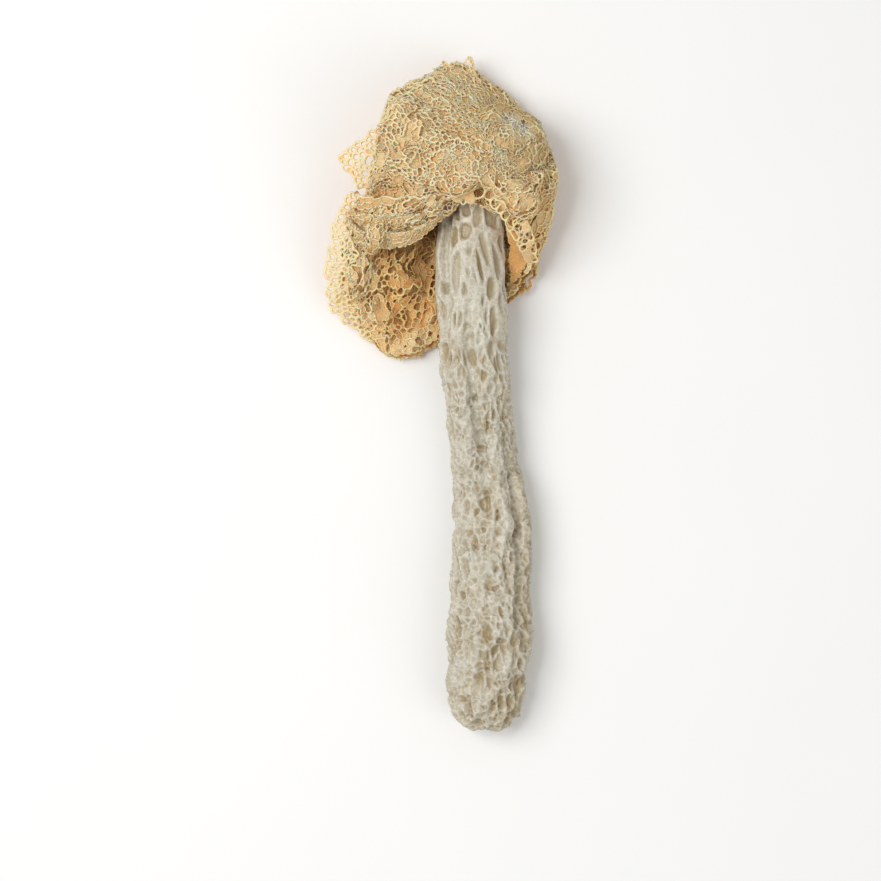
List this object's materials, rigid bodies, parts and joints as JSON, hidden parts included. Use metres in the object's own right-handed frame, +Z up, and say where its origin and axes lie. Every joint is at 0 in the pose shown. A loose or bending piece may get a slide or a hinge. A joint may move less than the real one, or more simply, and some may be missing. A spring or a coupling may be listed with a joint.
{
  "type": "dried bamboo fungus",
  "caption": "Dried netted mushroom lying on its back: a long pitted spongy stem, a small pored cap and an open lace skirt that falls round the top of the stem.",
  "frame": {"origin": "middle of the small flat spot under the lower stem, on which the fungus rests as it lies on its back", "axes": "+Y along the stem towards the cap and skirt, the foot towards -Y, +Z up from the surface it lies on, X across"},
  "size_m": [0.059, 0.1747, 0.0298],
  "materials": {
    "stem": "matte, off-white, dry and spongy",
    "cap": "matte, pale cream",
    "net_skirt": "matte, cream to warm orange, slightly translucent"
  },
  "bodies": {
    "root": {"stem": "stem", "cap": "cap", "net_skirt": "net_skirt"}
  },
  "joints": []
}
